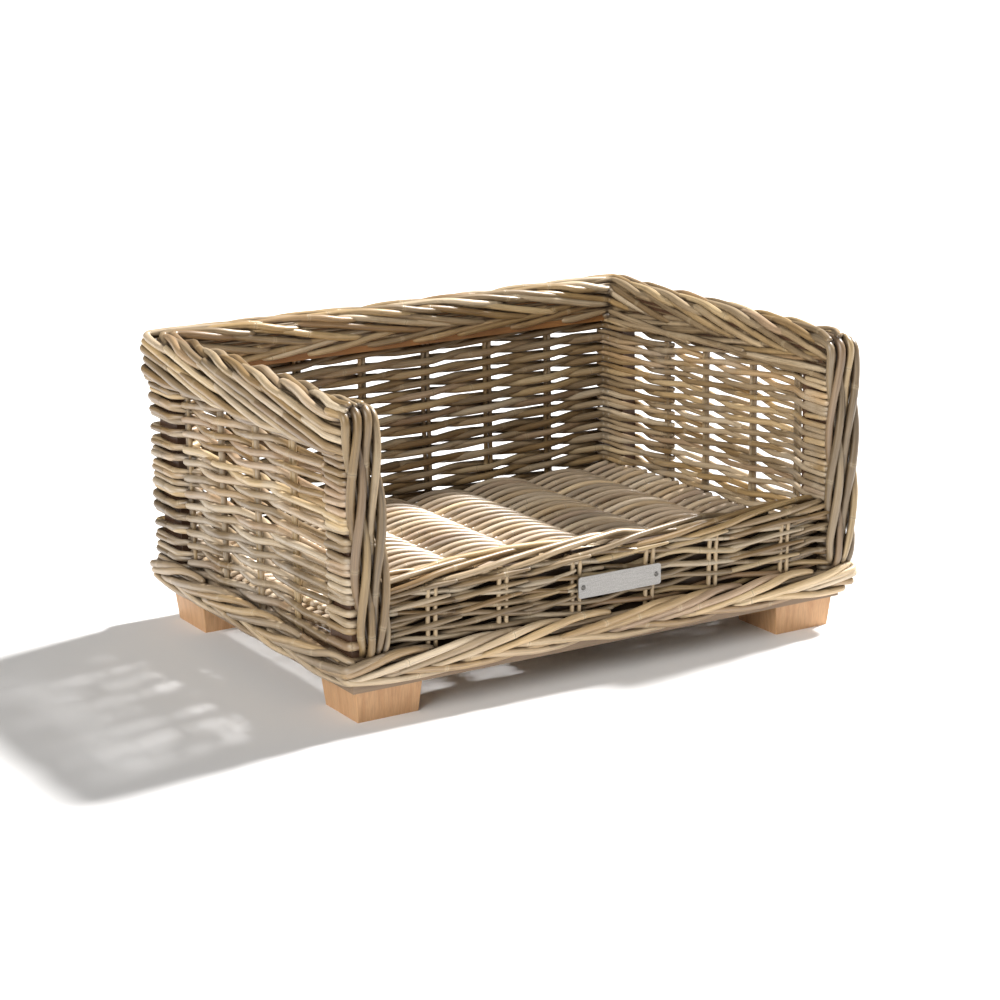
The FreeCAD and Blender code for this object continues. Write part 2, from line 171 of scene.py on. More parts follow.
class Bundle:
    """Rods of one kind that replace CAD nodes, made at the end into one mesh or a few groups."""

    def __init__(self, name, material, slot, nodes=()):
        self.name, self.material, self.slot, self.nodes = name, material, slot, nodes
        self.rods, self.groups = [], 1
        BUNDLES.append(self)

    def add(self, points, radius, tone=None, taper=(1.0, 1.0), sides=SIDES):
        """One rod along evenly spaced points.  tone is its lightness, gold and age, each 0 to 1.
        taper scales the radius at its two ends."""
        points = np.asarray(points, float)
        tone = rng.random(3) if tone is None else tone
        along = np.concatenate([[0], np.cumsum(np.linalg.norm(np.diff(points, axis=0), axis=1))])
        start = rng.random() * PATTERN_LENGTH
        radii = radius * (1 + wander(len(points), UNEVEN, STEP, 0.03))
        radii *= np.interp(along, [0, 0.25 * along[-1], 0.75 * along[-1], along[-1]],
                           [taper[0], 1, 1, taper[1]])
        ring = (along + start) % NODE_SPACING
        radii *= 1 + NODE_BUMP * np.exp(-((ring - NODE_SPACING / 2) / NODE_WIDTH) ** 2)
        tangents, normals, sidewise = transported_frames(points)

        # rounded ends: more rings, set out along the rod
        near = [(-d * radius, k * radii[0]) for d, k in reversed(END_RINGS)]
        far = [(d * radius, k * radii[-1]) for d, k in END_RINGS]
        points = np.concatenate([[points[0] + tangents[0] * d for d, _ in near], points,
                                 [points[-1] + tangents[-1] * d for d, _ in far]])
        radii = np.concatenate([[r for _, r in near], radii, [r for _, r in far]])
        along = np.concatenate([[d for d, _ in near], along, [along[-1] + d for d, _ in far]])
        extra = len(END_RINGS)
        normals = np.concatenate([normals[:1]] * extra + [normals] + [normals[-1:]] * extra)
        sidewise = np.concatenate([sidewise[:1]] * extra + [sidewise] + [sidewise[-1:]] * extra)

        n = len(points)
        angle = np.linspace(0, 2 * math.pi, sides, endpoint=False)
        out = (normals[:, None, :] * np.cos(angle)[None, :, None]
               + sidewise[:, None, :] * np.sin(angle)[None, :, None])
        skin = points[:, None, :] + out * radii[:, None, None]
        local = np.empty((n, sides, 3))
        local[:, :, 0] = np.cos(angle)[None, :] * radii[:, None]
        local[:, :, 1] = np.sin(angle)[None, :] * radii[:, None]
        local[:, :, 2] = (along + start)[:, None]

        i = np.arange(n - 1)[:, None] * sides
        j = np.arange(sides)[None, :]
        k = (j + 1) % sides
        quads = np.stack([i + j, i + k, i + sides + k, i + sides + j], axis=2).reshape(-1, 4)
        fans = [[cap[0], cap[m], cap[m + 1], cap[m + 2]]
                for cap in (np.arange(sides)[::-1], np.arange(sides) + (n - 1) * sides)
                for m in range(1, sides - 2, 2)]
        tones = np.tile([tone[0], tone[1], tone[2], 1.0], (n * sides, 1))
        self.rods.append((skin.reshape(-1, 3), local.reshape(-1, 3), tones,
                          np.concatenate([quads, fans]), out.reshape(-1, 3), radius))

    def build(self, crowding):
        """Makes the pieces: the rods in their order, shared out in equal groups."""
        cuts = np.linspace(0, len(self.rods), self.groups + 1).astype(int)
        for number, (a, b) in enumerate(zip(cuts, cuts[1:])):
            name = self.name if self.groups == 1 else f"{self.name}_{number + 1}"
            self.build_piece(name, self.rods[a:b], crowding)

    def build_piece(self, name, rods, crowding):
        mesh = bpy.data.meshes.new(name)
        skins, locals_, tones, faces, outs, _ = zip(*rods)
        first = np.concatenate([[0], np.cumsum([len(skin) for skin in skins])])
        points = np.concatenate(skins)
        quads = np.concatenate([face + base for face, base in zip(faces, first)])
        mesh.vertices.add(len(points))
        mesh.vertices.foreach_set("co", points.astype(np.float32).ravel())
        mesh.loops.add(len(quads) * 4)
        mesh.loops.foreach_set("vertex_index", quads.astype(np.int32).ravel())
        mesh.polygons.add(len(quads))
        mesh.polygons.foreach_set("loop_start", np.arange(0, len(quads) * 4, 4, dtype=np.int32))
        mesh.update(calc_edges=True)
        mesh.validate()
        mesh.polygons.foreach_set("use_smooth", np.ones(len(mesh.polygons), bool))
        place = mesh.attributes.new("rod_place", "FLOAT_VECTOR", "POINT")
        place.data.foreach_set("vector", np.concatenate(locals_).astype(np.float32).ravel())
        tone = mesh.attributes.new("rod_tone", "FLOAT_COLOR", "POINT")
        tone.data.foreach_set("color", np.concatenate(tones).astype(np.float32).ravel())
        crowd = mesh.attributes.new("rod_crowd", "FLOAT", "POINT")
        crowd.data.foreach_set("value", crowding.at(points, np.concatenate(outs)).astype(np.float32))
        mesh.materials.append(self.material)
        piece = bpy.data.objects.new(name, mesh)
        bpy.context.scene.collection.objects.link(piece)
        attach(piece, "root")
        if self.nodes:
            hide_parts(*self.nodes)


class Crowding:
    """How much of the space near a point is filled with rods.  The rattan paints shade there, darker the
    more it is filled.
    """

    VOXEL = 2.5 * MM
    MARGIN = 30 * MM
    DEPTH = 0.45              # how far below its surface a rod's filling is counted, in radii
    PASSES = 2
    REACH = 2                 # voxels on each side that one smoothing pass takes in
    LOOK = 4.5 * MM           # how far in front of the surface it is measured

    def __init__(self, bundles):
        rods = [rod for bundle in bundles for rod in bundle.rods]
        points = np.concatenate([skin - out * radius * self.DEPTH for skin, *_, out, radius in rods])
        share = np.concatenate([np.full(len(skin), math.pi * radius ** 2 * STEP / SIDES)
                                for skin, *_, radius in rods])
        self.low = points.min(axis=0) - self.MARGIN
        shape = np.ceil((points.max(axis=0) + self.MARGIN - self.low) / self.VOXEL).astype(int)
        cell = ((points - self.low) / self.VOXEL).astype(int)
        flat = np.ravel_multi_index(cell.T, shape)
        filled = np.bincount(flat, share / self.VOXEL ** 3, minlength=shape.prod())
        filled = filled.reshape(shape).astype(np.float32)
        for axis in (0, 1, 2) * self.PASSES:
            filled = sum(np.roll(filled, shift, axis) for shift in range(-self.REACH, self.REACH + 1))
            filled /= 2 * self.REACH + 1
        self.filled = filled

    def at(self, points, outs):
        """The share of filled space, 0 to 1, in front of surface points that face outs."""
        cell = ((points + outs * self.LOOK - self.low) / self.VOXEL).astype(int)
        cell = np.clip(cell, 0, np.array(self.filled.shape) - 1)
        return np.clip(self.filled[cell[:, 0], cell[:, 1], cell[:, 2]], 0, 1)


# ---- materials -------------------------------------------------------------------------

def srgb(red, green, blue):
    """Linear colour of an 8-bit sRGB one."""
    def linear(value):
        value /= 255
        return value / 12.92 if value <= 0.04045 else ((value + 0.055) / 1.055) ** 2.4
    return linear(red), linear(green), linear(blue), 1.0


class Graph:
    """A short way to write a node material."""

    def __init__(self, name):
        self.material = bpy.data.materials.new(name)
        self.material.use_nodes = True
        self.tree = self.material.node_tree
        self.shader = self.tree.nodes["Principled BSDF"]

    def node(self, kind, settings=None, **inputs):
        """A node with its settings, and its inputs by name, with _ for a space."""
        node = self.tree.nodes.new(kind)
        for key, value in (settings or {}).items():
            setattr(node, key, value)
        for key, value in inputs.items():
            self.set(node.inputs[key.replace("_", " ")], value)
        return node

    def set(self, socket, value):
        """Links a socket, or gives it a constant."""
        if isinstance(value, bpy.types.NodeSocket):
            self.tree.links.new(value, socket)
        else:
            socket.default_value = value

    def math(self, operation, first, second=0.5, clamp=False):
        node = self.tree.nodes.new("ShaderNodeMath")
        node.operation, node.use_clamp = operation, clamp
        self.set(node.inputs[0], first)
        self.set(node.inputs[1], second)
        return node.outputs[0]

    def mix(self, factor, first, second, blend="MIX"):
        node = self.tree.nodes.new("ShaderNodeMix")
        node.data_type, node.blend_type = "RGBA", blend       # its colours are inputs 6 and 7, output 2
        self.set(node.inputs[0], factor)
        self.set(node.inputs[6], first)
        self.set(node.inputs[7], second)
        return node.outputs[2]

    def ramp(self, factor, stops):
        node = self.tree.nodes.new("ShaderNodeValToRGB")
        elements = node.color_ramp.elements
        while len(elements) < len(stops):
            elements.new(0.5)
        for element, (position, colour) in zip(elements, stops):
            element.position, element.color = position, colour
        self.set(node.inputs[0], factor)
        return node.outputs[0]

    def noise(self, vector, scale, detail=3.0, roughness=0.55):
        node = self.node("ShaderNodeTexNoise", Vector=vector, Scale=scale, Detail=detail,
                         Roughness=roughness)
        return node.outputs["Fac"]

    def stretched(self, vector, scale):
        node = self.node("ShaderNodeVectorMath", {"operation": "MULTIPLY"})
        self.set(node.inputs[0], vector)
        node.inputs[1].default_value = scale
        return node.outputs[0]

    def bump(self, height, strength, distance):
        node = self.node("ShaderNodeBump", Height=height, Strength=strength, Distance=distance)
        self.set(self.shader.inputs["Normal"], node.outputs["Normal"])


def grey(value):
    return value, value, value, 1.0


CROWD_FROM, CROWD_TO = 0.30, 0.75     # share of filled space where the painted crevice shade starts and is full
RING_PALE, RING_DARK = 3.4 * MM, 0.8 * MM     # half widths of a ring's pale zone and its dark line


def rattan(name, light=1.0, bleach=0.0, crevice_shade=0.8, patches=0.0):
    """Weathered rattan: each rod has its own tone, with fibres, stains and rings along it.
    bleach greys all of it, patches greys some areas of a wall, and crevice_shade darkens the crevices
    with painted shade."""
    g = Graph(name)
    place = g.node("ShaderNodeAttribute", {"attribute_name": "rod_place"}).outputs["Vector"]
    tone = g.node("ShaderNodeAttribute", {"attribute_name": "rod_tone"}).outputs["Color"]
    split = g.node("ShaderNodeSeparateColor", Color=tone)
    shade, hue, age = split.outputs[0], split.outputs[1], split.outputs[2]
    along = g.node("ShaderNodeSeparateXYZ", Vector=place).outputs[2]

    # each rod's own colour: grey brown or golden, and a few pinkish ones
    blotch = g.noise(g.stretched(place, (60.0, 60.0, 16.0)), 1.0, 4.0)
    shift = g.math("MULTIPLY", g.math("SUBTRACT", blotch, 0.5), 0.9)
    tonal = g.math("ADD", shade, shift, clamp=True)
    grey_brown = g.ramp(tonal, [(0.0, srgb(128, 108, 80)), (0.35, srgb(152, 131, 101)),
                                (0.7, srgb(174, 153, 122)), (1.0, srgb(196, 178, 150))])
    golden = g.ramp(tonal, [(0.0, srgb(132, 105, 68)), (0.35, srgb(162, 134, 91)),
                            (0.7, srgb(186, 158, 113)), (1.0, srgb(206, 181, 138))])
    colour = g.mix(g.math("MULTIPLY", g.math("SUBTRACT", hue, 0.45), 2.2, clamp=True),
                   grey_brown, golden)
    pink = g.math("MULTIPLY", g.math("SUBTRACT", age, 0.85), 3.0, clamp=True)
    colour = g.mix(pink, colour, srgb(170, 136, 108))

    # fine fibres along the rod
    fibre = g.noise(g.stretched(place, (1500.0, 1500.0, 22.0)), 1.0, 3.0)
    coarse = g.noise(g.stretched(place, (500.0, 500.0, 9.0)), 1.0, 2.0)
    streaks = g.math("ADD", g.math("MULTIPLY", fibre, 0.55), g.math("MULTIPLY", coarse, 0.45))
    streak_tone = g.ramp(streaks, [(0.30, grey(0.46)), (0.5, grey(0.92)), (0.70, grey(1.26))])
    colour = g.mix(0.85, colour, streak_tone, "MULTIPLY")

    # stains
    stain = g.noise(g.stretched(place, (170.0, 170.0, 45.0)), 1.0, 5.0, 0.7)
    stain = g.ramp(stain, [(0.56, grey(0.0)), (0.72, grey(1.0))])
    colour = g.mix(g.math("MULTIPLY", stain, 0.42), colour, srgb(92, 74, 52))

    # growth rings: a thin dark line in a pale zone
    wobble = g.math("MULTIPLY", g.noise(g.stretched(place, (300.0, 300.0, 30.0)), 1.0), 4 * MM)
    ring = g.math("MODULO", g.math("ADD", along, wobble), NODE_SPACING)
    ring = g.math("ABSOLUTE", g.math("SUBTRACT", ring, NODE_SPACING / 2 + 2 * MM))
    pale = g.math("SUBTRACT", 1.0, g.math("DIVIDE", ring, RING_PALE), clamp=True)
    dark = g.math("SUBTRACT", 1.0, g.math("DIVIDE", ring, RING_DARK), clamp=True)
    colour = g.mix(g.math("MULTIPLY", pale, 0.35), colour, srgb(214, 196, 160))
    colour = g.mix(g.math("MULTIPLY", dark, 0.6), colour, srgb(84, 62, 40))

    if bleach:
        colour = g.mix(bleach, colour, srgb(176, 168, 158))
    if patches:
        spot = g.node("ShaderNodeTexCoord").outputs["Object"]
        worn = g.ramp(g.noise(spot, 9.0, 4.0, 0.6), [(0.47, grey(0.0)), (0.62, grey(1.0))])
        colour = g.mix(g.math("MULTIPLY", worn, patches), colour, srgb(182, 172, 157))
    # light scales the whole colour; the floor, base, braid, plait and dark copies use it to paint light
    # or shade
    if light != 1.0:
        colour = g.mix(1.0, colour, grey(light), "MULTIPLY")

    # painted shade in the crevices: darker where the space in front of a rod is filled
    crowd = g.node("ShaderNodeAttribute", {"attribute_name": "rod_crowd"}).outputs["Fac"]
    crowd = g.math("DIVIDE", g.math("SUBTRACT", crowd, CROWD_FROM), CROWD_TO - CROWD_FROM, clamp=True)
    colour = g.mix(g.math("MULTIPLY", crowd, crevice_shade), colour, srgb(58, 44, 30))
    g.set(g.shader.inputs["Base Color"], colour)

    rough = g.math("ADD", 0.27, g.math("MULTIPLY", streaks, 0.22))
    g.set(g.shader.inputs["Roughness"], rough)
    g.shader.inputs["Specular IOR Level"].default_value = 0.62
    height = g.math("SUBTRACT", g.math("ADD", streaks, g.math("MULTIPLY", blotch, 0.4)),
                    g.math("MULTIPLY", dark, 0.8))
    g.bump(height, 0.5, 0.0004)
    return g.material


# Copies of one rattan, some made lighter or darker for the light they lie in: the floor copy is
# brightened and greyed (painted sunlight and its sheen), the base copy is brightened (painted glow from
# the stage below), and the braid, plait and dark copies are darkened (painted shade; dark is for the back
# and front walls).
RATTAN = {"wall": rattan("rattan_wall_rods", patches=0.5),
          "braid": rattan("rattan_braid_rods", light=0.97, crevice_shade=0.9),
          "floor": rattan("rattan_floor_rods", light=1.42, bleach=0.34, crevice_shade=0.35),
          "dark": rattan("rattan_shaded_rods", light=0.70),
          "plait": rattan("rattan_plait_rods", light=0.66),
          "base": rattan("rattan_base_rods", light=1.22, bleach=0.12, crevice_shade=0.65),
          "stake": rattan("rattan_stake_rods", light=0.88)}


# ---- woven walls -----------------------------------------------------------------------

# A row is a pair of rods that twist round each other between the stakes.  They run from the
# front left post along the left wall, the back and the right wall to the front right post.
BACK_ROWS = 16
LEFT_ROWS = 14
ROW_LOW, ROW_HIGH = 67.5 * MM, 277.0 * MM
BACK_PITCH = (ROW_HIGH - ROW_LOW) / (BACK_ROWS - 1)
LEFT_PITCH = (ROW_HIGH - ROW_LOW) / (LEFT_ROWS - 1)
WALL_ROD = {"left": 4.4 * MM, "back": 4.5 * MM, "right": 3.6 * MM}
STAKE_CLEAR = 2.4 * MM        # from a stake's middle to the side of a rod that passes it
# how far the rods of a pair part in height between two stakes, as a share of the pitch
TWIST_RISE = {"left": 0.27, "back": 0.22, "right": 0.32}
TWIST_FROM = 34 * MM          # a pair has a twist in each gap longer than this
TWO_TURNS_ABOVE = 112 * MM    # the height from which a row goes twice round the front left post
CORNER_GAP = {-1: 3.2 * MM, 1: 0.2 * MM}      # between the left or right back post and its rods
ROD_LENGTH = (0.5, 1.1)       # of the rods in a row
ROD_LAP = 3                   # points that two rods share where one takes over from the other
ROD_REST = 60                 # points: a shorter rest of a row is joined to the rod before it


def wall_of(x, y):
    """The wall that a point of a row belongs to."""
    if y > POST_NEAR + 20 * MM:
        return "back"
    return "left" if x < 0 else "right"


def anchors():
    """What the rods pass in turn along the horseshoe: (kind, x, y, outward x, outward y)."""
    found = [("stake", -WALL_X, y, -1, 0) for y in LEFT_Y]
    found.append(("corner", -POST_OUT, POST_FAR, 0, 0))
    found += [("stake", x, WALL_Y, 0, 1) for x in BACK_X]
    found.append(("corner", POST_OUT, POST_FAR, 0, 0))
    found += [("stake", WALL_X, y, 1, 0) for y in reversed(RIGHT_Y)]
    return found


ANCHORS = anchors()
LEFT_CORNER = len(LEFT_Y)


def corner_points(side, outside, radius, heights):
    """The way round a back post.  heights are those before, at and after it, going rightward."""
    gap = radius + CORNER_GAP[side]
    if outside:
        plan = [(POST_OUT + gap, POST_NEAR - 2 * MM), (POST_OUT + gap, POST_FAR + gap),
                (POST_IN - 4 * MM, POST_FAR + gap)]
    else:
        turn = POST_FAR - 12 * MM
        plan = [(POST_IN - gap, POST_NEAR - 2 * MM), (POST_IN - gap, turn),
                (POST_IN - 12 * MM, turn)]
    if side > 0:
        plan.reverse()
    return [np.array([side * x, y, z]) for (x, y), z in zip(plan, heights)]


def strand(parity, left_z, back_z, first=0):
    """Points of one rod of a pair from the anchor first on: outside one, inside the next."""
    line, last = [], None
    for index in range(first, len(ANCHORS)):
        kind, x, y, nx, ny = ANCHORS[index]
        outside = (index + parity) % 2 == 0
        z = left_z if index < LEFT_CORNER else back_z
        radius = WALL_ROD[wall_of(x, y)]
        if kind == "corner":
            side = -1 if x < 0 else 1
            before = left_z if index == LEFT_CORNER else back_z
            here = corner_points(side, outside, radius, (before, (before + back_z) / 2, back_z))
        else:
            reach = (STAKE_CLEAR + radius) * (1 if outside else -1)
            here = [np.array([x + nx * reach, y + ny * reach, z])]
        if last is not None and np.linalg.norm((here[0] - last)[:2]) > TWIST_FROM:
            pitch = LEFT_PITCH if index <= LEFT_CORNER else BACK_PITCH
            rise = TWIST_RISE[wall_of(x, y)] * pitch * (1 if outside else -1)
            line.append((here[0] + last) / 2 + np.array([0, 0, rise]))
        line += here
        last = here[-1]
    return line


def post_wraps(side, z, pitch, turns, radius):
    """Turns round a front post, from outside past its front to inside, and so on downward."""
    out, into = side * (POST_OUT + radius * 0.9), side * (POST_IN - radius * 0.9)
    near, far = -8 * MM - POST_NEAR, -POST_FAR - 2.4 * MM     # the front posts mirror the back ones
    line = []
    for turn in range(turns):
        height = z + pitch * ((turns - 1) / 2 - turn)
        line += [np.array([x, y, height]) for x, y in
                 ((out, near), (out, far), (into, far), (into, near))]
    return line


def weave_walls():
    bundles = {wall: Bundle(f"{wall}_wall_rods", RATTAN["dark" if wall == "back" else "wall"],
                            "rattan_wall", [f"weave_{wall}"]) for wall in WALL_ROD}
    left_of = np.rint(np.linspace(0, LEFT_ROWS - 1, BACK_ROWS)).astype(int)
    for row in range(BACK_ROWS):
        back_z = ROW_LOW + row * BACK_PITCH + rng.normal(0, 0.6 * MM)
        joined_left = row == 0 or left_of[row] != left_of[row - 1]
        left_z = ROW_LOW + left_of[row] * LEFT_PITCH + rng.normal(0, 0.9 * MM)
        first = 0 if joined_left else LEFT_CORNER + 1
        right = post_wraps(1, back_z, BACK_PITCH / 2, 2, WALL_ROD["right"])
        line = strand(1, left_z, back_z, first) + right + strand(0, left_z, back_z, first)[::-1]
        if joined_left:
            turns = 2 if left_z > TWO_TURNS_ABOVE else 1
            left = post_wraps(-1, left_z, LEFT_PITCH / 2, turns, WALL_ROD["left"])
            line = left + line + left[:1]
        lay_row(bundles, line)
    for row in range(BACK_ROWS):
        fill_corner(bundles["left"], ROW_LOW + (row - rng.uniform(0.4, 0.6)) * BACK_PITCH)
        start_right(bundles["right"], ROW_LOW + (row + rng.uniform(0.4, 0.6)) * BACK_PITCH)
    for bundle in bundles.values():
        bundle.groups = 4


def start_right(bundle, z):
    """A rod that starts in the back right corner and runs forward inside the right wall."""
    radius = 3.3 * MM
    x = POST_IN - radius - 0.5 * MM
    far = POST_FAR - 8 * MM
    line = [(x - 7 * MM, far, z + 1 * MM), (x, far - 14 * MM, z),
            (x, POST_NEAR - 6 * MM, z - 1 * MM),
            (WALL_X - 5 * MM, RIGHT_Y[3] + 22 * MM, z - 2 * MM),
            (WALL_X + 2 * MM, RIGHT_Y[3] - 8 * MM, z)]
    bundle.add(curve(line, 12 * MM), radius, taper=(0.75, 0.9))


def fill_corner(bundle, z):
    """A short extra rod round the back left post, between two rows."""
    radius = 3.5 * MM
    gap = radius + 3 * MM
    tilt = rng.uniform(-3, 3) * MM
    line = [(-WALL_X + 7 * MM, POST_NEAR - 30 * MM, z - tilt),
            (-POST_OUT - gap, POST_NEAR - 4 * MM, z), (-POST_OUT - gap, POST_FAR + gap, z),
            (-POST_IN + 8 * MM, POST_FAR + gap, z), (-POST_IN + 30 * MM, WALL_Y + 3 * MM, z + tilt)]
    bundle.add(curve(line, 9 * MM), radius, taper=(0.8, 0.6))


def lay_row(bundles, line):
    """Cuts a row's long path into rods of natural length, each with its own tone."""
    path = curve(line, 11 * MM)
    on_left = (path[:, 1] < POST_NEAR) & (path[:, 0] < 0)
    drift = wander(len(path), 1 * MM, STEP)
    path[:, 2] += drift * np.where(on_left, 1.8, 1.0)       # the left wall is the less even one
    stop = 0
    while stop < len(path):
        start = max(stop - ROD_LAP, 0)
        stop = start + int(rng.uniform(*ROD_LENGTH) / STEP)
        if len(path) - stop < ROD_REST:
            stop = len(path)
        add_by_wall(bundles, path[start:stop])


def add_by_wall(bundles, points):
    """A rod that passes a corner is shared out between the walls that it runs along."""
    tone, thickness = rng.random(3), rng.uniform(0.86, 1.08)
    wall = np.array([wall_of(x, y) for x, y, _ in points])
    cuts = [0] + list(np.nonzero(wall[1:] != wall[:-1])[0] + 1) + [len(points)]
    for a, b in zip(cuts, cuts[1:]):
        if b - a > 3:
            name = wall[a]
            bundles[name].add(points[a:b + 1], WALL_ROD[name] * thickness, tone)


STAKE_ROD = 2.9 * MM
STAKE_APART = 2.7 * MM        # from the middle of a pair to each of its rods


def stakes():
    for wall, count in (("left", len(LEFT_Y)), ("right", len(RIGHT_Y)), ("back", len(BACK_X))):
        sideways = 0 if wall == "back" else 1
        for i in range(count):
            node = f"stakes_{wall}_{i + 1}"
            low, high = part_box(node)
            bundle = Bundle(node + "_rods", RATTAN["stake"], "rattan_stake", [node])
            for sign in (-1, 1):
                foot = centre(node)
                foot[sideways] += STAKE_APART * sign
                line = curve([(foot.x, foot.y, low.z), (foot.x, foot.y, high.z + 6 * MM)], 5 * MM)
                line[:, sideways] += wander(len(line), 0.5 * MM, STEP, 0.05)
                bundle.add(line, STAKE_ROD)


# ---- floor -----------------------------------------------------------------------------

FLOOR_ROD = 3.5 * MM
FLOOR_PITCH = 8.36 * MM
FLOOR_SWING = 8.5 * MM        # of a rod's middle line, up over a rib and down under the next
FLOOR_FLAT = 0.85             # under 1, this flattens the tops of the waves


def weave_floor():
    low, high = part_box("floor_weave")
    middle = centre("floor_rib_1").z
    pitch = RIB_X[1] - RIB_X[0]
    front, back = low.y + 1 * MM, high.y - 1 * MM
    count = int((back - front) / FLOOR_PITCH)
    edge = WALL_X - 3 * MM
    bundle = Bundle("floor_rods", RATTAN["floor"], "rattan_floor", ["floor_weave"])
    bundle.groups = 3
    for i in range(count):
        y = front + (i + 0.5) * (back - front) / count
        x = np.arange(-edge, edge, STEP)
        swing = np.cos(math.pi * ((x - RIB_X[0]) / pitch + (i % 2)))
        z = middle + FLOOR_SWING * np.sign(swing) * np.abs(swing) ** FLOOR_FLAT
        line = np.stack([x, np.full_like(x, y) + wander(len(x), 0.45 * MM, STEP, 0.09), z], axis=1)
        line[:, 2] += wander(len(x), 0.35 * MM, STEP, 0.07)
        cut = int(rng.uniform(0.2, 0.8) * len(x)) if rng.random() < 0.5 else 0
        tone = rng.random(3)
        if cut:
            bundle.add(line[:cut + 2], FLOOR_ROD, tone)
            bundle.add(line[cut:], FLOOR_ROD)
        else:
            bundle.add(line, FLOOR_ROD, tone)


# ---- braids ----------------------------------------------------------------------------

class Rail:
    """A line of straight runs with mitred corners that a braid follows, and the braid's section."""

    FINE = 1 * MM             # between the points of the section

    def __init__(self, corners, section, closed=False, rounding=8 * MM):
        """corners(n) gives the plan corners of the line set out sideways by n.
        section lists (outward, up) points round the outside of the braid."""
        self.corners, self.closed = corners, closed
        run = np.array(corners(0.0), float)
        self.lengths = np.linalg.norm(np.diff(run, axis=0), axis=1)
        self.ends = np.concatenate([[0], np.cumsum(self.lengths)])
        outline = np.array([(0, n, u) for n, u in section], float)
        outline = smooth(resample(outline, self.FINE), rounding)
        self.section = outline[:, 1:]
        slope = np.gradient(self.section, axis=0)
        slope /= np.linalg.norm(slope, axis=1, keepdims=True)
        self.inward = np.stack([-slope[:, 1], slope[:, 0]], axis=1)
        self.perimeter = (len(outline) - 1) * self.FINE

    @property
    def length(self):
        return self.ends[-1]

    def inside(self, s):
        """Which of the distances s lie on the rail."""
        return np.ones(len(s), bool) if self.closed else (s >= 0) & (s <= self.length)

    def place(self, s, p, depth):
        """Points at the distances s along the rail and p round the section, sunk in by depth."""
        grid = np.linspace(0, self.perimeter, len(self.section))
        n = np.interp(p, grid, self.section[:, 0]) + depth * np.interp(p, grid, self.inward[:, 0])
        u = np.interp(p, grid, self.section[:, 1]) + depth * np.interp(p, grid, self.inward[:, 1])
        s = np.mod(s, self.length) if self.closed else s
        side = np.clip(np.searchsorted(self.ends, s, "right") - 1, 0, len(self.lengths) - 1)
        share = (s - self.ends[side]) / self.lengths[side]
        xy = np.empty((len(s), 2))
        for i in range(len(s)):
            line = self.corners(n[i])
            a, b = line[side[i]], line[side[i] + 1]
            xy[i] = a[0] + (b[0] - a[0]) * share[i], a[1] + (b[1] - a[1]) * share[i]
        return np.column_stack([xy, u])


def lay_leaves(bundle, rail, low, high, lean, radius, spread=1.0, sink=2.3, dive=1.2, share=0.2,
               lift=0.5, tilt=0.9, vary=(0.85, 1.2)):
    """One row of a braid: overlapping rods that slant across the band from p = low to p = high.
    lean is the change of p along the rail.  A rod's first end lies sunk under the rods before it,
    its body swells outward by lift, and its last end lies on top until it dives.  Depths are in
    radii."""
    reach = (high - low) / abs(lean)
    before = 0 if rail.closed else reach
    span = rail.length + before
    count = max(int(round(span / (2 * radius * spread / math.sin(math.atan(abs(lean)))))), 1)
    for i in range(count):
        size = reach * rng.uniform(*vary)
        start = (i + rng.uniform(-0.14, 0.14)) * span / count - before
        t = np.linspace(0, 1, max(int(size / STEP), 6))
        s = start + size * t
        across = 0.4 * t + 0.6 * t * t * (3 - 2 * t)
        p = low + (high - low) * (across if lean > 0 else 1 - across)
        p += rng.normal(0, 0.8 * MM) + wander(len(t), 0.4 * MM, STEP)
        depth = sink * dip(t / share) + dive * dip((1 - t) / share) - lift * np.sin(math.pi * t)
        depth += tilt * (0.5 - t) + rng.normal(0, 0.08)
        keep = rail.inside(s)
        if keep.sum() < 8:            # too short to be seen at the rail's end
            continue
        points = rail.place(s[keep], np.clip(p[keep], 0, rail.perimeter), radius * depth[keep])
        bundle.add(curve(points, 7 * MM), radius * rng.uniform(0.92, 1.07), taper=(0.88, 0.84))


def dip(share):
    """Falls from 1 to 0 on a quarter circle as share goes from 0 to 1."""
    return 1 - np.sqrt(1 - (1 - np.clip(share, 0, 1)) ** 2)


INSIDE_SHADE_TONE = (0.0, 0.3, 0.2)     # darkest tone, painted shade for rods that lie inside a braid and show only in its gaps


def lay_core(bundle, rail, radius, depths, step=8 * MM):
    """Straight rods inside a braid, all the way along the rail.  depths lists (p, depth) pairs."""
    for p in np.arange(radius, rail.perimeter, 2 * radius):
        s = np.arange(0, rail.length - 1e-6, step)
        depth = np.interp(p, *zip(*depths))
        line = rail.place(s, np.full_like(s, p), np.full_like(s, depth))
        bundle.add(curve(line, 8 * MM, step), radius, INSIDE_SHADE_TONE, sides=6)


TOP_ROD = 4.6 * MM
TOP_LEAN = 0.16
TOP_BANDS = 5
INNER_ROD = 4.2 * MM
# rods along the inside of the side braids: where they start and end, as a share of the wall's
# length, and their height above the braid's lower edge at both ends, in millimetres
INNER_RODS = ((0.0, 0.55, 2, 7), (0.35, 1.0, 8, 1), (0.0, 0.4, 11, 3), (0.6, 1.0, 2, 12))


